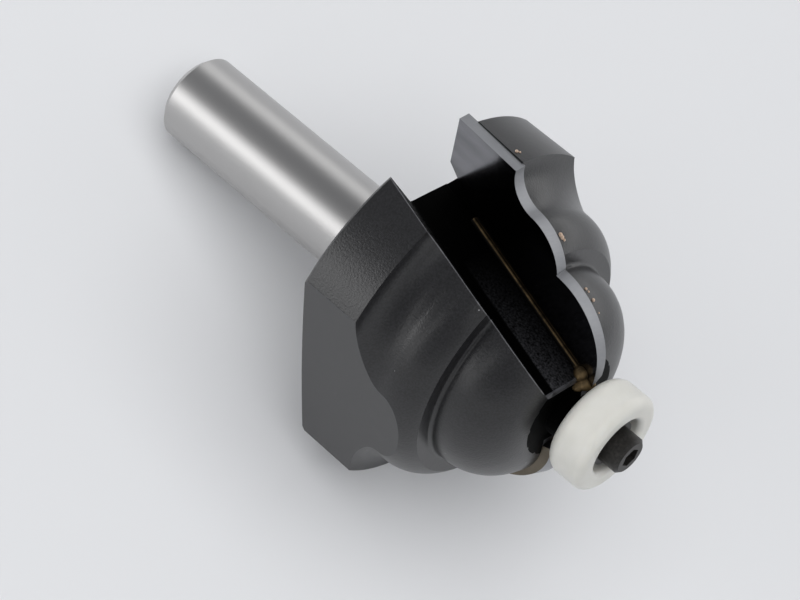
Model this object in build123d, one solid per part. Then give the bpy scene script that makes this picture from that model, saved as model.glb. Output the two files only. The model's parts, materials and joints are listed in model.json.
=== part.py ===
from build123d import *
import math
import os

# Router bit with a guide ring.  Millimetres.
# The bit is first built upright on its own axis: z = 0 is the rim of the head
# on the shank side and +z runs to the tip.  It is then laid on its side as it
# comes to rest, with +Z up and the axis running along +X.

# ---- shank ----
SHANK_D = 12.7
SHANK_L = 42.5
SHANK_CHAMFER = 0.9

# ---- cutting profile ----
CUT_D = 50.8
RING_D = 14.5
BODY_RELIEF = 0.6
BAND_RELIEF = 0.2
QUIRK_BACK = 1.25
QUIRK_FILLET = 0.5
OVOLO_RELIEF = 0.9
COVE_EASE = 0.15
PLATE_END_STANDS = 1.0

# ---- head ----
FLAT_SHARE = 0.765
RIM_CHAMFER = 0.4
BACK_CONE = 0.95

# ---- carbide plate ----
PLATE_T = 2.3
SIDE_RELIEF = 24.5
END_RELIEF = 17.0
BRAZE_T = 0.12
BRAZE_BEAD = 0.7
SEAT_RUNOUT = 0.3
# round lumps of the puddle: x, y, z from the end of the seam, and radius
PUDDLE = ((0.3, -0.3, -0.2, 1.0), (0.45, 0.9, 0.7, 1.0), (1.35, 1.2, 0.4, 0.85), (-0.1, 1.0, 1.2, 0.75))

# ---- guide ring, bearing and screw ----
RING_L = 6.05
RING_EDGE_R = 2.0
RING_FRONT_R = 1.25
MOUTH_D = 8.25
MOUTH_LIP = 0.8
REAR_EASE = 0.2
BRG_BORE = 4.76
BRG_OD = 9.52
BRG_W = 3.18
BALL_D = 1.2
BALLS = 9
BOSS_H = 1.7
BRG_STANDS = 1.75
RING_GAP = 2.45
WASHER_D = 6.8
WASHER_T = 0.9
SCREW_HEAD_D = 5.35
SCREW_HEAD_H = 3.0
SCREW_EDGE = 0.42
SCREW_D = 3.0
SCREW_L = 8.0
HEX_AF = 2.5
HEX_DEPTH = 1.6
RUN_FIT = 0.04

# ---- derived ----
CUT_R = CUT_D / 2
RING_R = RING_D / 2
SHANK_R = SHANK_D / 2
K = (CUT_R - RING_R) / 18.15

COVE_R = 4.05 * K
BEAD_R = 6.5 * K
OVOLO_R = 9.2 * K
Z_COVE = 13.9 * K
R_SWELL = CUT_R - 4.5 * K
R_BEAD_C = R_SWELL - BEAD_R
R_COVE_C = R_SWELL + COVE_R
Z_QUIRK = 20.1 * K
R_QUIRK = R_SWELL - 4.9 * K
Z_OVOLO = 20.8 * K
R_OVOLO_C = R_QUIRK - OVOLO_R
Z_PLATE_END = Z_OVOLO + OVOLO_R
Z_BODY_END = Z_PLATE_END - 2 * OVOLO_RELIEF
BODY_R = CUT_R - BAND_RELIEF
FLAT_H = FLAT_SHARE * BODY_R

# gullet, as a groove swept along one slanting line
SLANT_X = 0.151
SLANT_Y = 0.288
RAKE_FOOT = (-6.2 * K, -13.1 * K)
RAKE_LEAN = 0.1376
WALL_FOOT = (0.7 * K, -15.05 * K)
WALL_LEAN = -0.48
GULLET_FILLET = 1.0 * K

# tip stack along the axis
Z_STEP = Z_BODY_END + BOSS_H
STEP_R = BRG_BORE / 2 + 0.75
Z_BRG = Z_STEP + BRG_STANDS
Z_BRG_END = Z_BRG + BRG_W
Z_WASHER_END = Z_BRG_END + WASHER_T
Z_RING = Z_BODY_END + RING_GAP
Z_RING_END = Z_RING + RING_L
STUB_R = BRG_BORE / 2 - 0.01


def unit2(x, y):
    n = math.hypot(x, y)
    return (x / n, y / n)


RAKE_U = unit2(-RAKE_LEAN, -1.0)
RAKE_W = unit2(-1.0, RAKE_LEAN)
FLOOR_V = unit2(WALL_FOOT[0] - RAKE_FOOT[0], WALL_FOOT[1] - RAKE_FOOT[1])


def rake_normal():
    # unit normal of the rake plane, towards the land behind the plate
    a = Vector(RAKE_U[0], RAKE_U[1], 0)
    b = Vector(SLANT_X, SLANT_Y, 1)
    n = a.cross(b).normalized()
    if n.X > 0:
        n = n * -1
    return n


def on_rake(z, m):
    # point of the rake plane at height z, m outward from the gullet corner
    x = RAKE_FOOT[0] + SLANT_X * z + RAKE_U[0] * m
    y = RAKE_FOOT[1] + SLANT_Y * z + RAKE_U[1] * m
    return Vector(x, y, z)


def rake_at_radius(z, r):
    # the point of the rake plane at height z that lies r from the axis
    bx = RAKE_FOOT[0] + SLANT_X * z
    by = RAKE_FOOT[1] + SLANT_Y * z
    b = bx * RAKE_U[0] + by * RAKE_U[1]
    c = bx * bx + by * by - r * r
    m = -b + math.sqrt(b * b - c)
    return on_rake(z, m)


def arc_samples(zc, rc, rad, a0, a1, n):
    out = []
    for i in range(n + 1):
        a = math.radians(a0 + (a1 - a0) * i / n)
        out.append((zc + rad * math.cos(a), rc + rad * math.sin(a)))
    return out


def prism(points, z0, z1):
    # section given at z = 0, swept along the slanting line of the gullet
    low = [(x + SLANT_X * z0, y + SLANT_Y * z0, z0) for x, y in points]
    wire = Wire.make_polygon([Vector(*p) for p in low], close=True)
    face = Face(wire)
    step = Vector(SLANT_X, SLANT_Y, 1) * (z1 - z0)
    return extrude(face, amount=step.length, dir=step.normalized())


def plate_profile():
    # the cutting profile, as arcs of (z centre, r centre, radius, from, to)
    za = Z_COVE - math.sqrt(COVE_R ** 2 - (CUT_R - R_COVE_C) ** 2)
    a0 = math.degrees(math.atan2(CUT_R - R_COVE_C, za - Z_COVE))
    cove = (Z_COVE, R_COVE_C, COVE_R, a0, 270.0)
    a1 = math.degrees(math.acos((Z_QUIRK - Z_COVE) / BEAD_R))
    bead = (Z_COVE, R_BEAD_C, BEAD_R, 90.0, a1)
    ovolo = (Z_OVOLO, R_OVOLO_C, OVOLO_R, 90.0, 0.0)
    return za, cove, bead, ovolo


def body_profile():
    # the turned steel behind it, cut back further at the quirk and the ovolo
    g = BODY_RELIEF
    rc = COVE_R + g + COVE_EASE
    zc = Z_COVE - COVE_EASE
    out = R_SWELL - g + rc
    za = zc - math.sqrt(rc ** 2 - (BODY_R - out) ** 2)
    a0 = math.degrees(math.atan2(BODY_R - out, za - zc))
    cove = (zc, out, rc, a0, 270.0)
    zq = Z_QUIRK - QUIRK_BACK
    a1 = math.degrees(math.acos((zq - Z_COVE) / (BEAD_R - g)))
    bead = (Z_COVE, R_BEAD_C, BEAD_R - g, 90.0, a1)
    zo = Z_OVOLO - OVOLO_RELIEF
    ro = OVOLO_R - OVOLO_RELIEF
    ovolo = (zo, R_OVOLO_C + 0.2 * K, ro, 90.0, 0.0)
    return za, cove, bead, zq, ovolo


def turned_section():
    # half section of shank, head and tip stub in the XZ plane, x = radius
    za, cove, bead, zq, ovolo = body_profile()
    ze = Z_BODY_END
    pts = []

    def line(*p):
        for a, b in zip(p[:-1], p[1:]):
            pts.append(Line((a[0], 0, a[1]), (b[0], 0, b[1])))

    def arc(c):
        zc, rc, rad, a0, a1 = c
        s = arc_samples(zc, rc, rad, a0, a1, 2)
        q = [(r, 0, z) for z, r in s]
        pts.append(ThreePointArc(*q))
        return (s[0][1], s[0][0]), (s[-1][1], s[-1][0])

    fil = 1.5
    zb = -BACK_CONE
    line((0, -SHANK_L), (SHANK_R - SHANK_CHAMFER, -SHANK_L),
         (SHANK_R, -SHANK_L + SHANK_CHAMFER), (SHANK_R, zb - fil))
    q = 1 - math.sqrt(0.5)
    pts.append(ThreePointArc((SHANK_R, 0, zb - fil),
                             (SHANK_R + fil * q, 0, zb - fil * q),
                             (SHANK_R + fil, 0, zb)))
    line((SHANK_R + fil, zb), (BODY_R - RIM_CHAMFER, 0), (BODY_R, RIM_CHAMFER), (BODY_R, za))
    s, neck = arc(cove)
    s, e = arc(bead)
    line(neck, s)
    rq = ovolo[1] + ovolo[2]
    f = QUIRK_FILLET
    line(e, (rq + f, zq))
    pts.append(ThreePointArc((rq + f, 0, zq), (rq + f * q, 0, zq + f * q), (rq, 0, zq + f)))
    line((rq, zq + f), (rq, ovolo[0]))
    s, e = arc(ovolo)
    hole_r = SCREW_D / 2 + 0.02
    z_stub = Z_BRG_END - 0.1
    z_hole = Z_WASHER_END - SCREW_L - 0.6
    line(e, (STEP_R + 1.0, ze), (STEP_R + 1.0, Z_STEP), (STEP_R, Z_STEP), (STEP_R, Z_BRG),
         (STUB_R, Z_BRG), (STUB_R, z_stub), (hole_r, z_stub), (hole_r, z_hole),
         (0, z_hole - 0.8), (0, -SHANK_L))
    return Face(Wire(pts))


def turned_blank():
    return revolve(turned_section(), Axis.Z, 360)


def gullet_cut():
    # the open groove in front of one plate
    far = 1.35 * CUT_R
    dr = far + RAKE_FOOT[1]
    dw = far + WALL_FOOT[1]
    a = (RAKE_FOOT[0] - RAKE_LEAN * dr, -far)
    d = (WALL_FOOT[0] - WALL_LEAN * dw, -far)
    cut = prism([a, RAKE_FOOT, WALL_FOOT, d], -12 * K, 46 * K)
    foot = [e for e in cut.edges() if is_wall_foot(e)]
    return fillet(foot, GULLET_FILLET)


def is_wall_foot(e):
    c = e.center()
    px = WALL_FOOT[0] + SLANT_X * c.Z
    py = WALL_FOOT[1] + SLANT_Y * c.Z
    return math.hypot(c.X - px, c.Y - py) < 0.01 * K and e.length > 10 * K


def seat_cut(extra=0.0):
    # slot behind the rake plane that holds the plate, milled a little past its front
    t = (PLATE_T + extra) / abs(math.hypot(rake_normal().X, rake_normal().Y))
    c0 = off(RAKE_FOOT, RAKE_U, -BRAZE_T)
    c1 = off(c0, RAKE_W, t)
    front = off(c0, RAKE_W, -SEAT_RUNOUT)
    far = 1.3 * CUT_R
    return prism([front, c1, off(c1, RAKE_U, far), off(front, RAKE_U, far)], -12 * K, 46 * K)


def off(p, d, m):
    return (p[0] + d[0] * m, p[1] + d[1] * m)


def plate():
    # one carbide plate: the outline lies in the rake plane
    za, cove, bead, ovolo = plate_profile()
    ze = Z_PLATE_END
    zq = Z_QUIRK
    top = -PLATE_END_STANDS
    edges = []
    p_top = rake_at_radius(top, CUT_R)
    p_cor = rake_at_radius(za, CUT_R)
    cham_z = 5.9 * K
    cham_m = 3.3 * K
    p_in_top = on_rake(top, cham_m)
    p_in = on_rake(cham_z, 0)
    p_tip_in = on_rake(ze, 0)
    edges.append(Line(p_in_top, p_top))
    edges.append(Line(p_top, p_cor))

    def curve(c, n):
        pts = [rake_at_radius(z, r) for z, r in arc_samples(*c, n)]
        edges.append(Spline(*pts))
        return pts[0], pts[-1]

    a, b = curve(cove, 8)
    a, b = curve(bead, 8)
    q = rake_at_radius(zq, R_QUIRK)
    q2 = rake_at_radius(Z_OVOLO, R_QUIRK)
    edges.append(Line(b, q))
    edges.append(Line(q, q2))
    a, b = curve(ovolo, 10)
    edges.append(Line(b, p_tip_in))
    edges.append(Line(p_tip_in, p_in))
    edges.append(Line(p_in, p_in_top))
    face = Face(Wire(edges))
    n = rake_normal()
    side = PLATE_T * math.tan(math.radians(SIDE_RELIEF))
    end = PLATE_T * math.tan(math.radians(END_RELIEF))
    out = Vector(RAKE_U[0], RAKE_U[1], 0)
    along = Vector(SLANT_X, SLANT_Y, 1)
    step = n * PLATE_T - out * side - along * end
    raw = extrude(face, amount=step.length, dir=step.normalized())
    keep_pts = [RAKE_FOOT, off(RAKE_FOOT, RAKE_W, PLATE_T * 1.2)]
    far = 1.3 * CUT_R
    keep_pts += [off(keep_pts[1], RAKE_U, far), off(keep_pts[0], RAKE_U, far)]
    return raw & prism(keep_pts, -12 * K, 46 * K)


def braze(body, plate_solid):
    # seam under the inner edge of the plate, bead in front of it, puddle at the tip
    t = PLATE_T / abs(math.hypot(rake_normal().X, rake_normal().Y))
    c0 = off(RAKE_FOOT, RAKE_U, -BRAZE_T)
    c1 = off(c0, RAKE_W, t)
    strip = [off(c0, RAKE_W, -SEAT_RUNOUT), c1, off(c1, RAKE_U, BRAZE_T), RAKE_FOOT,
             off(RAKE_FOOT, RAKE_U, BRAZE_BEAD * 0.55), off(RAKE_FOOT, FLOOR_V, BRAZE_BEAD)]
    z_low = 5.0 * K
    seam = prism(strip, z_low, Z_BODY_END - 0.05)
    c = on_rake(Z_BODY_END, 0)
    for x, y, z, r in PUDDLE:
        seam = seam + Pos(c.X + x, c.Y + y, c.Z + z) * Sphere(r)
    return seam - body - plate_solid


def cutter():
    blank = turned_blank()
    big = 4 * CUT_R
    for s in (1, -1):
        slab = Pos(s * (FLAT_H + big / 2), 0, big / 2 - 3) * Box(big, big, big)
        blank = blank - slab
    g = gullet_cut() + seat_cut()
    blank = blank - g
    blank = blank - Rot(0, 0, 180) * g
    return blank


def guide_ring():
    r = RING_R
    z0 = Z_RING
    z1 = Z_RING_END
    m = MOUTH_D / 2
    b = BRG_OD / 2
    lip = MOUTH_LIP
    ease = REAR_EASE
    e = min(RING_EDGE_R, r - b - ease - 0.05)
    f = min(RING_FRONT_R, r - m - lip - 0.05)
    q = math.sqrt(0.5)
    zi = Z_BRG_END + 0.02
    k = [Line((b, 0, z0 + ease), (b + ease, 0, z0)), Line((b + ease, 0, z0), (r - e, 0, z0))]
    k.append(ThreePointArc((r - e, 0, z0), (r - e + e * q, 0, z0 + e - e * q), (r, 0, z0 + e)))
    k.append(Line((r, 0, z0 + e), (r, 0, z1 - f)))
    k.append(ThreePointArc((r, 0, z1 - f), (r - f + f * q, 0, z1 - f + f * q), (r - f, 0, z1)))
    k.append(Line((r - f, 0, z1), (m + lip, 0, z1)))
    k.append(ThreePointArc((m + lip, 0, z1), (m + lip - lip * q, 0, z1 - lip + lip * q), (m, 0, z1 - lip)))
    k.append(Line((m, 0, z1 - lip), (m, 0, zi)))
    k.append(Line((m, 0, zi), (b, 0, zi)))
    k.append(Line((b, 0, zi), (b, 0, z0 + ease)))
    return revolve(Face(Wire(k)), Axis.Z, 360)


BRG_IN_R = BRG_BORE / 2
BRG_OUT_R = BRG_OD / 2
PITCH_R = (BRG_IN_R + BRG_OUT_R) / 2
IN_RACE_R = PITCH_R - BALL_D * 0.36
OUT_RACE_R = PITCH_R + BALL_D * 0.36


def balls():
    zc = (Z_BRG + Z_BRG_END) / 2
    out = []
    for i in range(BALLS):
        a = 360.0 * i / BALLS
        out.append(Rot(0, 0, a) * Pos(PITCH_R, 0, zc) * Sphere(BALL_D / 2))
    return out


def cage():
    # thin band between the races with a round pocket for each ball
    zc = (Z_BRG + Z_BRG_END) / 2
    band = Cylinder(PITCH_R + 0.16, BALL_D + 0.5) - Cylinder(PITCH_R - 0.16, BALL_D + 1)
    band = Pos(0, 0, zc) * band
    for i in range(BALLS):
        a = 360.0 * i / BALLS
        hole = Pos(PITCH_R, 0, zc) * Rot(0, 90, 0) * Cylinder(BALL_D / 2 + RUN_FIT, 1.5)
        band = band - Rot(0, 0, a) * hole
    return band


def shield(front):
    # thin steel disc held by the outer race, just clear of the inner race
    t = 0.16
    z = Z_BRG_END - t / 2 - 0.08 if front else Z_BRG + t / 2 + 0.08
    return Pos(0, 0, z) * (Cylinder(OUT_RACE_R, t) - Cylinder(IN_RACE_R + 0.08, t + 1))


def washer():
    z = Z_BRG_END + WASHER_T / 2
    w = Cylinder(WASHER_D / 2, WASHER_T) - Cylinder(SCREW_D / 2 + 0.1, WASHER_T + 1)
    return Pos(0, 0, z) * w


def cap_screw():
    z0 = Z_WASHER_END
    r = SCREW_HEAD_D / 2
    head = Pos(0, 0, z0 + SCREW_HEAD_H / 2) * Cylinder(r, SCREW_HEAD_H)
    top = head.edges().group_by(Axis.Z)[-1]
    head = chamfer(top, SCREW_EDGE)
    rod = Pos(0, 0, z0 - SCREW_L / 2) * Cylinder(SCREW_D / 2, SCREW_L)
    rod = chamfer(rod.edges().group_by(Axis.Z)[0], 0.3)
    hexa = RegularPolygon(HEX_AF / 2, 6, major_radius=False)
    sock = extrude(hexa, HEX_DEPTH + 1)
    sock = Pos(0, 0, z0 + SCREW_HEAD_H - HEX_DEPTH) * Rot(0, 0, 12) * sock
    cone = Pos(0, 0, z0 + SCREW_HEAD_H - HEX_DEPTH - 0.2) * Cone(0.05, HEX_AF / 2, 0.4)
    return head + rod - sock - cone


def one(shape):
    s = shape.solids()
    s.sort(key=lambda q: q.volume)
    return s[-1]


def pieces():
    body = cutter()
    pa = one(plate())
    ba = one(braze(body, pa))
    half = Rot(0, 0, 180)
    zc = (Z_BRG + Z_BRG_END) / 2
    outer = Pos(0, 0, zc) * (Cylinder(BRG_OUT_R, BRG_W) - Cylinder(OUT_RACE_R, BRG_W + 1))
    groove = Pos(0, 0, zc) * Torus(PITCH_R, BALL_D / 2 + RUN_FIT)
    inner = Pos(0, 0, zc) * (Cylinder(IN_RACE_R, BRG_W) - Cylinder(BRG_IN_R, BRG_W + 1))
    out = {}
    out["cutter_body"] = [one(body)]
    out["carbide_plate_a"] = [pa]
    out["carbide_plate_b"] = [one(half * pa)]
    out["braze_seam_a"] = [ba]
    out["braze_seam_b"] = [one(half * ba)]
    out["guide_ring"] = [one(guide_ring())]
    out["bearing_outer_race"] = [one(outer - groove)]
    out["bearing_inner_race"] = [one(inner - groove)]
    out["bearing_balls"] = [one(b) for b in balls()]
    out["bearing_cage"] = [one(cage())]
    out["bearing_shield_front"] = [one(shield(True))]
    out["bearing_shield_rear"] = [one(shield(False))]
    out["retaining_washer"] = [one(washer())]
    out["cap_screw"] = [one(cap_screw())]
    return out


def wall_corner(z, r):
    # where the far wall of the gullet meets radius r at height z
    y = -r * 0.9
    for i in range(60):
        x = WALL_FOOT[0] + SLANT_X * z + WALL_LEAN * (y - WALL_FOOT[1] - SLANT_Y * z)
        y = -math.sqrt(max(r * r - x * x, 0.01))
    return Vector(x, y, z)


def floor_normal():
    # outward normal of the plane the bit rests on: a top corner of plate b, the
    # rim corner across the same gullet and the edge of the shank's end chamfer
    a = rake_at_radius(-PLATE_END_STANDS, CUT_R)
    b = wall_corner(RIM_CHAMFER, BODY_R)
    a = Vector(-a.X, -a.Y, a.Z)
    b = Vector(-b.X, -b.Y, b.Z)
    n = Vector(0, 1, -0.4).normalized()
    for i in range(40):
        h = math.hypot(n.X, n.Y)
        s = Vector(SHANK_R * n.X / h, SHANK_R * n.Y / h, -SHANK_L + SHANK_CHAMFER)
        n = (b - a).cross(s - a).normalized()
        if n.Y < 0:
            n = n * -1
    return n, a.dot(n)


def lay_down():
    # plane of the floor written in the bit's own frame: x along the tip, z up
    n, d = floor_normal()
    up = n * -1
    tip = Vector(0, 0, 1)
    x = (tip - up * tip.dot(up)).normalized()
    return Plane(origin=n * d, x_dir=x, z_dir=up)


def main():
    os.makedirs("parts", exist_ok=True)
    made = pieces()
    floor = lay_down()
    whole = Compound(children=[floor.to_local_coords(s) for q in made.values() for s in q])
    box = whole.bounding_box()
    move = Pos(-box.center().X, -box.center().Y, 0)
    print("lowest point", round(box.min.Z, 4), "size", box.size)
    for name, solids in made.items():
        placed = [move * floor.to_local_coords(s) for s in solids]
        shape = placed[0] if len(placed) == 1 else Compound(children=placed)
        export_step(shape, os.path.join("parts", name + ".step"))
        print(name, len(placed), round(sum(s.volume for s in placed), 3), all(s.is_valid for s in placed))
    for label, z in (("shank end", -SHANK_L), ("rim", 0.0), ("ring middle", (Z_RING + Z_RING_END) / 2)):
        p = floor.to_local_coords(Vector(0, 0, z)) - Vector(box.center().X, box.center().Y, 0)
        print(label, round(p.X, 4), round(p.Y, 4), round(p.Z, 4))
    x = floor.to_local_coords(Vector(0, 0, 1)) - floor.to_local_coords(Vector(0, 0, 0))
    print("axis", round(x.X, 6), round(x.Y, 6), round(x.Z, 6))


main()
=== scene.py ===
import bmesh
import bpy
import json
import math
from mathutils import Matrix, Vector


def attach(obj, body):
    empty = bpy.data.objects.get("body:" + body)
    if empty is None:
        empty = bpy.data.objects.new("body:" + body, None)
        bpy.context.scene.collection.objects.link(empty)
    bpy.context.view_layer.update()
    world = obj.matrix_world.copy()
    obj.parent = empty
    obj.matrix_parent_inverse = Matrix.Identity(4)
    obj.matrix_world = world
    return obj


# Router bit with a guide ring, lying on a pale table: finishes, spilt solder, light and camera.
# Lengths are in metres in the part's own frame.  Those that end in _MM are in millimetres in
# the bit's frame: x out through a flat of the head, z along the axis from the rim to the tip.

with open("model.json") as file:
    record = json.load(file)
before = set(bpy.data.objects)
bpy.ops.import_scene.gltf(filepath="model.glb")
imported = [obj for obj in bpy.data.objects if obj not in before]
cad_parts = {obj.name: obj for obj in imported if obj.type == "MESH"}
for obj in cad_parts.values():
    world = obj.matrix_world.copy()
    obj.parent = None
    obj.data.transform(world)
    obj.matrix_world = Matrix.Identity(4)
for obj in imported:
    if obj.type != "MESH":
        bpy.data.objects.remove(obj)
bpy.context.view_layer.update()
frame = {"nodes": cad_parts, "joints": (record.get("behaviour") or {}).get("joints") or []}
MM = 0.001

# ---- the bit's frame, from the joint that the guide ring turns on ----
BEARING_FROM_RIM_MM = 33.0
OUT_OF_FLAT = Vector((-0.0044, -0.9999, 0.0102))    # squared to the axis below
hinge = next(j for j in frame["joints"] if j["name"] == "guide_spin")
TIP = Vector(hinge["axis"]).normalized()
RIM = Vector(hinge["pos_m"]) - TIP * BEARING_FROM_RIM_MM * MM
FLAT = (OUT_OF_FLAT - TIP * OUT_OF_FLAT.dot(TIP)).normalized()
TO_BIT = Matrix((FLAT, TIP.cross(FLAT), TIP))
FROM_BIT = TO_BIT.transposed()

# ---- shape of gullet A, for the finishes that follow it; gullet B is half a turn on ----
SLANT = Vector((0.151, 0.288, 1.0))     # the whole groove runs this way, rim to tip
RAKE_FOOT_MM = (-6.2, -13.1)            # inner edge of the plate's front, at the rim
RAKE_LEAN = 0.1376
WALL_FOOT_MM = (0.7, -15.05)            # inner edge of the wall opposite, at the rim
WALL_LEAN = -0.48
RAKE_RUN = (-RAKE_LEAN, -1.0)
WALL_RUN = (-WALL_LEAN, -1.0)
FLOOR_RUN = (WALL_FOOT_MM[0] - RAKE_FOOT_MM[0], WALL_FOOT_MM[1] - RAKE_FOOT_MM[1])
TIP_FACE_MM = 28.2                      # flat end of the head, under the boss
SEAT_DROP_MM = 0.8                      # the plate's seat runs out this far under the floor
SEAT_BACK_MM = 2.3                      # and a plate's thickness behind its front


# ---------------------------------------------------------------- materials
# Noise keeps near its middle, so each pattern is stretched from about 0.3 to 0.7.

def linear(hexa):
    """Linear colour of an sRGB hex value."""
    out = []
    for i in (0, 2, 4):
        c = int(hexa[i:i + 2], 16) / 255
        out.append(c / 12.92 if c <= 0.04045 else ((c + 0.055) / 1.055) ** 2.4)
    return (*out, 1.0)


def add(tree, kind, inputs=(), **settings):
    """Adds a node with its settings and fills its inputs, which are named in a dictionary
    or else in the order of the sockets in use.  Another node stands for its first output."""
    node = tree.nodes.new("ShaderNode" + kind)
    for name, value in settings.items():
        setattr(node, name, value)
    if isinstance(inputs, dict):
        filled = [(node.inputs[name], value) for name, value in inputs.items()]
    else:
        filled = zip([s for s in node.inputs if s.enabled], inputs)
    for socket, value in filled:
        if isinstance(value, bpy.types.Node):
            value = next(s for s in value.outputs if s.enabled)
        if isinstance(value, bpy.types.NodeSocket):
            tree.links.new(value, socket)
        else:
            socket.default_value = value
    return node


def start(name):
    """A new material, its tree, and the place of each point in the bit's frame."""
    mat = bpy.data.materials.new(name)
    mat.use_nodes = True
    tree = mat.node_tree
    tree.nodes.clear()
    place = add(tree, "Mapping", {
        "Vector": add(tree, "TexCoord").outputs["Object"],
        "Scale": (1 / MM,) * 3,
        "Rotation": TO_BIT.to_euler("XYZ"),
        "Location": -(TO_BIT @ RIM) / MM})
    return mat, tree, place


def close(mat, inputs):
    """Ends a material in its one shader."""
    tree = mat.node_tree
    add(tree, "OutputMaterial", {"Surface": add(tree, "BsdfPrincipled", inputs)})
    return mat


def face_normal(run, turn):
    """Which way one slanting face of a gullet looks, where run is its line across the bit.
    turn is 1 for gullet A and -1 for gullet B."""
    normal = Vector((*run, 0.0)).cross(SLANT).normalized()
    if normal.y > 0:
        normal = -normal
    return Vector((turn * normal.x, turn * normal.y, normal.z))


def height_over(tree, place, foot, run, turn):
    """Height over such a face, in millimetres, where foot is a point of it at the rim."""
    normal = face_normal(run, turn)
    offset = -turn * (normal.x * foot[0] + normal.y * foot[1])
    along = add(tree, "VectorMath", (place, normal), operation="DOT_PRODUCT")
    return add(tree, "Math", (along, offset), operation="ADD")


# ---- finish of the head's coat ----
COAT_END_MM = (-2.2, -2.0)              # the coat ends in the neck, between these heights
PEEL_MM = 0.26                          # one pebble of the sprayed coat's orange peel
PEEL_DEPTH_MM = 0.026
RINGS_PER_MM = (0.12, 0.12, 9.0)        # grinding lines: long round the shank, fine along it
RING_DEPTH_MM = 0.0012
HEAD_BEVEL_MM = 0.10
COAT_ROUGH = 0.32
SHANK_ROUGH = 0.37
# the near-black painted shade over soot is this rough
SOOT_AND_SHADE_ROUGH = 0.72
COAT_IOR = 1.57
LINE_MM = (-0.16, -0.03)                # pale grey line outside the wall's edge, faint to full
LINE_END_MM = -0.004                    # it stops just short of the wall
LINE_RISE_MM = 0.3                      # and starts this high over the floor
SOOT_AND_SHADE_MARGIN_MM = 0.02                   # painted shade over soot takes in what is this near to a gullet
FLOOR_SKIN_MM = 0.08                    # what is under this height belongs to the floor
BRINK_HIGHLIGHT_MM = 0.20                         # painted highlight along the floor's end, where it meets the tip
BLACK_STRIP_MM = (1.0, 1.2)             # the worn floor starts so far from the wall
WORN_MM = (1.2, 5.5)                    # and fades over this distance from it
WORN_FROM_MM = 9.0                      # height over the rim where the wear starts
LEAST_WORN = 0.15
PATCHES_PER_MM = 0.9                    # patches along the worn lines
GRAIN_PER_MM = 3.5                      # grain of the worn floor
DUST_PER_MM = 0.3                       # specks of dust and nicks
DUST_SIZE = 0.03                        # a speck's radius, as a share of its cell


def gullet_masks(tree, place, z):
    """Where the gullets and the head's end are near black as painted shade over soot, where a
    pale line and a painted highlight run at the gullets' edges, and how far their floors are
    worn."""
    soot_and_shade = edge_line_and_highlight = worn = 0.0
    for turn in (1, -1):
        wall = height_over(tree, place, WALL_FOOT_MM, WALL_RUN, turn)
        floor = height_over(tree, place, RAKE_FOOT_MM, FLOOR_RUN, turn)
        rake = height_over(tree, place, RAKE_FOOT_MM, RAKE_RUN, turn)

        # pale grey line on the outer side of the wall's edge
        line = add(tree, "MapRange", (wall, *LINE_MM))
        for limit in (add(tree, "Math", (wall, LINE_END_MM), operation="LESS_THAN"),
                      add(tree, "Math", (floor, LINE_RISE_MM), operation="GREATER_THAN")):
            line = add(tree, "Math", (line, limit), operation="MULTIPLY")

        # inside of the gullet, and of the seat's run-out behind the plate
        seat_floor = add(tree, "Math", (floor, SEAT_DROP_MM), operation="ADD")
        seat_back = add(tree, "Math", (rake, SEAT_BACK_MM), operation="ADD")
        inside = add(tree, "Math", (wall, seat_floor), operation="MINIMUM")
        inside = add(tree, "Math", (inside, seat_back), operation="MINIMUM")
        inside = add(tree, "Math", (inside, -SOOT_AND_SHADE_MARGIN_MM), operation="GREATER_THAN")

        # painted highlight along the floor's end, and the floor's wear, which leaves a black
        # strip by the wall
        low = add(tree, "Math", (floor, FLOOR_SKIN_MM), operation="LESS_THAN")
        low = add(tree, "Math", (inside, low), operation="MULTIPLY")
        last = add(tree, "Math", (z, TIP_FACE_MM - BRINK_HIGHLIGHT_MM), operation="GREATER_THAN")
        brink_highlight = add(tree, "Math", (low, last), operation="MULTIPLY")
        rise = add(tree, "MapRange", (wall, *BLACK_STRIP_MM))
        fade = add(tree, "MapRange", (wall, *WORN_MM, 1.0, LEAST_WORN))
        for share in (rise, fade):
            low = add(tree, "Math", (low, share), operation="MULTIPLY")

        # the inside is painted near black: painted shade over soot
        soot_and_shade = add(tree, "Math", (soot_and_shade, inside), operation="MAXIMUM")
        for edge in (line, brink_highlight):
            edge_line_and_highlight = add(tree, "Math", (edge_line_and_highlight, edge), operation="MAXIMUM")
        worn = add(tree, "Math", (worn, low), operation="MAXIMUM")

    # painted shade: the flat end of the head and the boss on it lie in the ring's shadow and are
    # made as dark as the gullets
    end = add(tree, "Math", (z, TIP_FACE_MM - SOOT_AND_SHADE_MARGIN_MM), operation="GREATER_THAN")
    soot_and_shade = add(tree, "Math", (soot_and_shade, end), operation="MAXIMUM")
    # the pale line and the painted highlight are patchy, and the wear grows towards the tip
    patches = add(tree, "TexNoise", {"Vector": place, "Scale": PATCHES_PER_MM, "Detail": 3.0})
    patches = add(tree, "MapRange", (patches, 0.35, 0.6, 0.35, 1.0))
    edge_line_and_highlight = add(tree, "Math", (edge_line_and_highlight, patches), operation="MULTIPLY")
    toward_tip = add(tree, "MapRange", (z, WORN_FROM_MM, TIP_FACE_MM))
    grain = add(tree, "TexNoise", {"Vector": place, "Scale": GRAIN_PER_MM, "Detail": 3.0})
    grain = add(tree, "MapRange", (grain, 0.30, 0.72))
    for share in (toward_tip, grain):
        worn = add(tree, "Math", (worn, share), operation="MULTIPLY")
    return soot_and_shade, edge_line_and_highlight, worn


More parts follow.
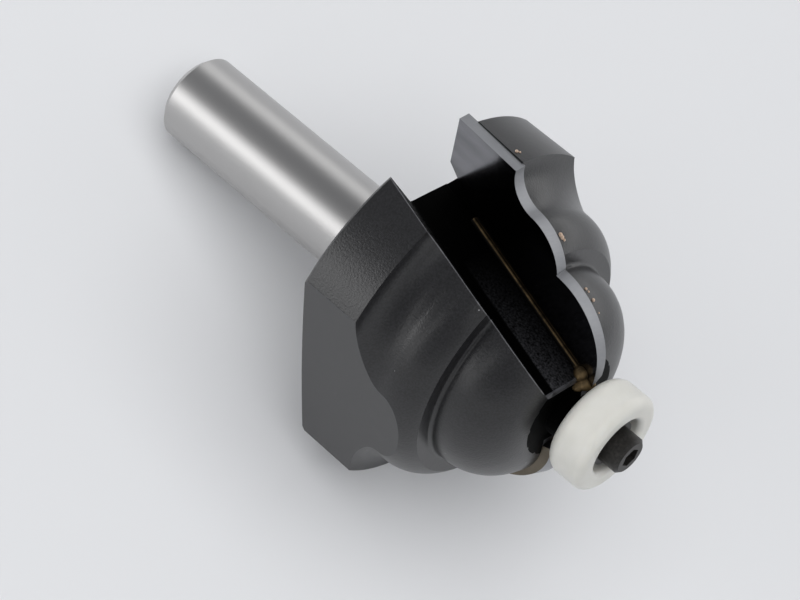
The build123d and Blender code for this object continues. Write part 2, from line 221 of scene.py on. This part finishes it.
def coated_cutter():
    """Milled steel with a baked black fluoropolymer coat, and a ground bare shank.

    The coat is almost black and only shines; its fine orange peel breaks up the light.
    A pale grey line runs along the gullets' outer edges, with a painted highlight at their
    floors' ends; inside them, and on the head's end, it is near black and dull: painted shade
    over soot."""
    mat, tree, place = start("black_coated_steel")
    z = add(tree, "SeparateXYZ", (place,)).outputs["Z"]
    shank = add(tree, "MapRange", (z, *COAT_END_MM, 1.0, 0.0))
    soot_and_shade, edge_line_and_highlight, worn = gullet_masks(tree, place, z)

    # a few pale specks of dust and nicks, on the coat only
    cells = add(tree, "TexVoronoi", {"Vector": place, "Scale": DUST_PER_MM, "Randomness": 1.0})
    dust = add(tree, "Math", (cells, DUST_SIZE), operation="LESS_THAN")
    coated = add(tree, "Math", (shank, 0.5), operation="LESS_THAN")
    dust = add(tree, "Math", (dust, coated), operation="MULTIPLY")

    # colour: orange peel first, then what lies over it, from the lowest layer up
    peel = add(tree, "TexNoise", {"Vector": place, "Scale": 1 / PEEL_MM, "Detail": 1.0,
                                  "Roughness": 0.5})
    pebble = add(tree, "MapRange", (peel, 0.35, 0.65))
    colour = add(tree, "Mix", (pebble, linear("161617"), linear("212123")), data_type="RGBA")
    # 0B0B0B is painted shade over soot; 96969A is the pale edge line with the painted highlight
    for where, shade in ((shank, "B6B5B4"), (soot_and_shade, "0B0B0B"), (worn, "8C8C90"),
                         (edge_line_and_highlight, "96969A"), (dust, "7E7E80")):
        colour = add(tree, "Mix", (where, colour, linear(shade)), data_type="RGBA")

    # the shank, the pale line and the painted highlight are metal; so is the painted shade
    # over soot, because a black metal swallows the shine too
    metal = add(tree, "Math", (shank, edge_line_and_highlight), operation="MAXIMUM")
    metal = add(tree, "Math", (metal, soot_and_shade), operation="MAXIMUM")
    rough = add(tree, "MapRange", (shank, 0.0, 1.0, COAT_ROUGH, SHANK_ROUGH))
    rough = add(tree, "Mix", (soot_and_shade, rough, SOOT_AND_SHADE_ROUGH))

    # grinding lines round the shank, drawn coarser than real ones so that they show
    rings = add(tree, "Mapping", {"Vector": place, "Scale": RINGS_PER_MM})
    rings = add(tree, "TexNoise", {"Vector": rings, "Scale": 1.0, "Detail": 3.0})
    relief = add(tree, "Mix", (shank, peel, rings))
    depth = add(tree, "MapRange", (shank, 0.0, 1.0, PEEL_DEPTH_MM * MM, RING_DEPTH_MM * MM))
    soft = add(tree, "Bevel", {"Radius": HEAD_BEVEL_MM * MM}, samples=6)
    bump = add(tree, "Bump", {"Height": relief, "Distance": depth, "Normal": soft})
    return close(mat, {"Base Color": colour, "Metallic": metal, "Roughness": rough,
                       "IOR": COAT_IOR, "Normal": bump})


# ---- finish of the plates ----
FACES_SO = (0.97, 0.99)                 # cosines between which a face becomes front or back
LAND_LINES_PER_MM = (0.5, 0.5, 7.0)     # fine along the axis, so that they follow the edge
CLOUDS_PER_MM = 0.35
STREAKS_PER_MM = (0.4, 0.4, 0.12)       # long along the axis
LAND_ROUGH = 0.42
LAPPED_ROUGH = 0.16
LAND_DEPTH_MM = 0.004
LAPPED_DEPTH_MM = 0.0004
PLATE_BEVEL_MM = 0.04


def ground_carbide(name, turn):
    """Sintered tungsten carbide: a lapped front that mirrors softly, wheel-ground lands with
    fine lines along them, and a back browned by the brazing heat."""
    mat, tree, place = start(name)
    facing = add(tree, "TexCoord").outputs["Normal"]
    to_front = FROM_BIT @ face_normal(RAKE_RUN, turn)
    facing = add(tree, "VectorMath", (facing, to_front), operation="DOT_PRODUCT")
    front = add(tree, "MapRange", (facing, *FACES_SO))
    back = add(tree, "MapRange", (facing, -FACES_SO[0], -FACES_SO[1]))

    lines = add(tree, "Mapping", {"Vector": place, "Scale": LAND_LINES_PER_MM})
    lines = add(tree, "TexNoise", {"Vector": lines, "Scale": 1.0, "Detail": 4.0})
    cloud = add(tree, "TexNoise", {"Vector": place, "Scale": CLOUDS_PER_MM, "Detail": 3.0})
    # faint cloudy streaks across the lapped front
    streak = add(tree, "Mapping", {"Vector": place, "Scale": STREAKS_PER_MM})
    streak = add(tree, "TexNoise", {"Vector": streak, "Scale": 1.0, "Detail": 2.0})
    streak = add(tree, "MapRange", (streak, 0.35, 0.65))

    land, lapped, browned = (
        add(tree, "Mix", (pattern, linear(dark), linear(light)), data_type="RGBA")
        for pattern, dark, light in ((add(tree, "Mix", (0.5, lines, cloud)), "85868A", "9FA0A2"),
                                     (streak, "78797C", "88888C"),
                                     (cloud, "48423A", "7E7668")))
    colour = add(tree, "Mix", (front, land, lapped), data_type="RGBA")
    colour = add(tree, "Mix", (back, colour, browned), data_type="RGBA")
    rough = add(tree, "MapRange", (front, 0.0, 1.0, LAND_ROUGH, LAPPED_ROUGH))
    depth = add(tree, "MapRange", (front, 0.0, 1.0, LAND_DEPTH_MM * MM, LAPPED_DEPTH_MM * MM))
    soft = add(tree, "Bevel", {"Radius": PLATE_BEVEL_MM * MM}, samples=4)
    bump = add(tree, "Bump", {"Height": lines, "Distance": depth, "Normal": soft})
    return close(mat, {"Base Color": colour, "Metallic": 1.0, "Roughness": rough,
                       "Normal": bump})


# ---- finish of the braze ----
BEAD_MM = (0.22, 0.36)                  # golden so near to the corner of floor and plate
PUDDLE_MM = (26.6, 28.0)                # and from these heights up
TARNISH_PER_MM = 0.8
LEAST_GOLDEN = 0.25
BRAZE_DEPTH_MM = 0.02
BRAZE_BEVEL_MM = 0.35
BRAZE_METAL = 0.75                      # the rest is burnt flux
BRAZE_ROUGH = 0.5


def tarnished_braze(name, turn):
    """Brass-like hard solder, browned by flux and heat: golden along the middle of the bead
    and in the puddle at the tip, near black towards its edges."""
    mat, tree, place = start(name)
    z = add(tree, "SeparateXYZ", (place,)).outputs["Z"]
    floor = height_over(tree, place, RAKE_FOOT_MM, FLOOR_RUN, turn)
    rake = height_over(tree, place, RAKE_FOOT_MM, RAKE_RUN, turn)
    from_corner = add(tree, "Math", (floor, rake), operation="MAXIMUM")
    bead = add(tree, "MapRange", (from_corner, *BEAD_MM, 1.0, 0.0))
    puddle = add(tree, "MapRange", (z, *PUDDLE_MM))
    golden = add(tree, "Math", (bead, puddle), operation="MAXIMUM")
    patch = add(tree, "TexNoise", {"Vector": place, "Scale": TARNISH_PER_MM, "Detail": 3.0})
    patch = add(tree, "MapRange", (patch, 0.34, 0.62))
    dulled = add(tree, "MapRange", (patch, 0.0, 1.0, LEAST_GOLDEN, 1.0))
    golden = add(tree, "Math", (golden, dulled), operation="MULTIPLY")
    colour = add(tree, "Mix", (golden, linear("0E0B08"), linear("8E7856")), data_type="RGBA")
    soft = add(tree, "Bevel", {"Radius": BRAZE_BEVEL_MM * MM}, samples=8)
    bump = add(tree, "Bump", {"Height": patch, "Distance": BRAZE_DEPTH_MM * MM, "Normal": soft})
    return close(mat, {"Base Color": colour, "Metallic": BRAZE_METAL, "Roughness": BRAZE_ROUGH,
                       "Normal": bump})


# ---- plain finishes ----
ROUGH_EITHER_WAY = 0.06                 # how far roughness strays from patch to patch
SMALL_BEVEL_MM = 0.06


def mottled(name, dark, light, patch_mm, metallic, roughness, depth_mm, **plain):
    """A finish of two close colours in soft patches, with a little relief."""
    mat, tree, place = start(name)
    noise = add(tree, "TexNoise", {"Vector": place, "Scale": 1 / patch_mm, "Detail": 3.0})
    spread = add(tree, "MapRange", (noise, 0.3, 0.7))
    colour = add(tree, "Mix", (spread, linear(dark), linear(light)), data_type="RGBA")
    rough = add(tree, "MapRange", (noise, 0.0, 1.0, roughness - ROUGH_EITHER_WAY,
                                   roughness + ROUGH_EITHER_WAY))
    soft = add(tree, "Bevel", {"Radius": SMALL_BEVEL_MM * MM}, samples=4)
    bump = add(tree, "Bump", {"Height": noise, "Distance": depth_mm * MM, "Normal": soft})
    return close(mat, {"Base Color": colour, "Metallic": metallic, "Roughness": rough,
                       "Normal": bump, **plain})


# Machined acetal: milky white, a soft sheen, a little light goes in.
ACETAL = mottled("white_acetal", "D2D1CA", "DAD9D3", 3.0, 0.0, 0.36, 0.002,
                 **{"Subsurface Weight": 0.25, "Subsurface Scale": 0.6 * MM,
                    "Subsurface Radius": (1.0, 0.9, 0.75)})
# Hardened alloy screw, blackened in hot salts: dark brownish grey, dull.
BLACK_OXIDE = mottled("black_oxide_steel", "262524", "3A3836", 0.35, 0.55, 0.44, 0.008)
# Through-hardened bearing steel, ground and clean: bright and sharp.
BEARING_STEEL = mottled("ground_bearing_steel", "AEAFB2", "C4C5C8", 0.6, 1.0, 0.22, 0.001)
# Pressed strip with a thin nickel plate: pale, slightly dull.
PRESSED_STEEL = mottled("nickel_plated_strip_steel", "D2CFC8", "E0DDD6", 0.5, 1.0, 0.34, 0.003)
# Copper-rich solder, wiped while soft: pinkish and bright.
WIPED_SOLDER = mottled("wiped_copper_solder", "C4A48A", "ECD8C6", 0.2, 0.7, 0.4, 0.004)

for node, finish in (("cutter_body", coated_cutter()),
                     ("carbide_plate_a", ground_carbide("ground_carbide_a", 1)),
                     ("carbide_plate_b", ground_carbide("ground_carbide_b", -1)),
                     ("braze_seam_a", tarnished_braze("tarnished_braze_a", 1)),
                     ("braze_seam_b", tarnished_braze("tarnished_braze_b", -1)),
                     ("guide_ring", ACETAL),
                     ("bearing_outer_race", BEARING_STEEL),
                     ("bearing_inner_race", BEARING_STEEL),
                     ("bearing_balls", BEARING_STEEL),
                     ("bearing_cage", PRESSED_STEEL),
                     ("bearing_shield_front", PRESSED_STEEL),
                     ("bearing_shield_rear", PRESSED_STEEL),
                     ("retaining_washer", BLACK_OXIDE),
                     ("cap_screw", BLACK_OXIDE)):
    for material_slot in frame["nodes"][node].material_slots:
        material_slot.link = "OBJECT"
        material_slot.material = finish


# ---------------------------------------------------------------- small details

# Beads of spilt solder behind plate A: x, y, z and radius.
SPILT_MM = ((-9.85, -23.24, 7.05, 0.24), (-10.15, -23.10, 7.35, 0.16),
            (-7.85, -17.62, 17.05, 0.36), (-7.85, -17.40, 17.35, 0.34),
            (-7.95, -17.15, 17.70, 0.2), (-6.95, -13.05, 22.85, 0.22),
            (-7.05, -12.75, 23.25, 0.17), (-6.85, -12.25, 24.30, 0.26),
            (-6.60, -11.15, 25.65, 0.14))


def made_of(shape, name, material):
    """The object of a finished bmesh, in one material."""
    mesh = bpy.data.meshes.new(name)
    shape.to_mesh(mesh)
    shape.free()
    mesh.materials.append(material)
    piece = bpy.data.objects.new(name, mesh)
    bpy.context.scene.collection.objects.link(piece)
    return piece


def spilt_solder():
    """Small bright beads, half sunk, where solder ran out behind a plate."""
    shape = bmesh.new()
    for *middle, radius in SPILT_MM:
        centre = RIM + FROM_BIT @ (Vector(middle) * MM)
        bmesh.ops.create_icosphere(shape, subdivisions=2, radius=radius * MM,
                                   matrix=Matrix.Translation(centre))
    for face in shape.faces:
        face.smooth = True
    beads = made_of(shape, "spilt_solder", WIPED_SOLDER)
    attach(beads, "bit")


spilt_solder()


# ---------------------------------------------------------------- table, light, camera

TABLE_R = 6.0
# Lamps: azimuth and elevation in degrees, distance, width, height, radiance, and whether
# they show in glossy surfaces.
LAMPS = (("key_softbox", -43, 15, 0.60, 0.30, 0.26, 2.25, True),
         ("left_softbox", -135, 22, 0.60, 0.30, 0.22, 1.0, True),
         ("back_softbox", 165, 8, 1.20, 1.30, 0.30, 1.45, True),
         ("front_strip", -12, 34, 0.70, 0.12, 0.56, 1.15, True),
         ("right_softbox", 100, 50, 0.80, 0.50, 0.40, 0.5, True),
         ("ceiling_wash", 0, 88, 0.90, 0.90, 0.90, 2.35, False))
SKY_DIMS = (0.20, 0.62)                 # between these heights, where 1 is overhead
LENS_MM = 113.66
SENSOR_MM = 36.0
CAMERA_AT = (0.0207985, -0.145685, 0.317048)
CAMERA_TURN = (18.957, -18.000, 48.718)


def table():
    """A plain pale laminate table top, dull and far wider than any view."""
    shape = bmesh.new()
    bmesh.ops.create_circle(shape, cap_ends=True, segments=96, radius=TABLE_R)
    laminate = close(start("pale_laminate")[0], {
        "Base Color": linear("E4E5E7"), "Roughness": 0.6, "Specular IOR Level": 0.2})
    made_of(shape, "table_top", laminate)


def softbox(name, azimuth, elevation, distance, width, height, radiance, in_gloss):
    """A soft rectangular lamp aimed at the bit."""
    lamp = bpy.data.lights.new(name, "AREA")
    lamp.shape = "RECTANGLE"
    lamp.size, lamp.size_y = width, height
    lamp.energy = radiance * math.pi * width * height
    holder = bpy.data.objects.new(name, lamp)
    bpy.context.scene.collection.objects.link(holder)
    a, e = math.radians(azimuth), math.radians(elevation)
    way = Vector((math.sin(a) * math.cos(e), -math.cos(a) * math.cos(e), math.sin(e)))
    holder.location = way * distance
    holder.rotation_euler = way.to_track_quat("Z", "Y").to_euler()
    holder.visible_camera = False
    holder.visible_glossy = in_gloss


def sky():
    """Pale round the horizon and dim overhead, as under a studio ceiling."""
    world = bpy.data.worlds.new("studio")
    bpy.context.scene.world = world
    world.use_nodes = True
    tree = world.node_tree
    tree.nodes.clear()
    up = add(tree, "SeparateXYZ", (add(tree, "TexCoord"),)).outputs["Z"]
    dim = add(tree, "MapRange", (up, *SKY_DIMS), interpolation_type="SMOOTHSTEP")
    colour = add(tree, "Mix", (dim, linear("D9DADC"), linear("7C7D80")), data_type="RGBA")
    add(tree, "OutputWorld", {"Surface": add(tree, "Background", (colour, 1.0))})


def camera():
    """A long lens from above and in front, rolled so that the bit lies on the diagonal."""
    data = bpy.data.cameras.new("camera")
    data.sensor_width = SENSOR_MM
    data.lens = LENS_MM
    data.clip_start, data.clip_end = 0.01, 50.0
    eye = bpy.data.objects.new("camera", data)
    bpy.context.scene.collection.objects.link(eye)
    eye.location = CAMERA_AT
    eye.rotation_euler = [math.radians(a) for a in CAMERA_TURN]
    bpy.context.scene.camera = eye


table()
sky()
for lamp in LAMPS:
    softbox(*lamp)
camera()
bpy.context.scene.view_settings.view_transform = "Standard"
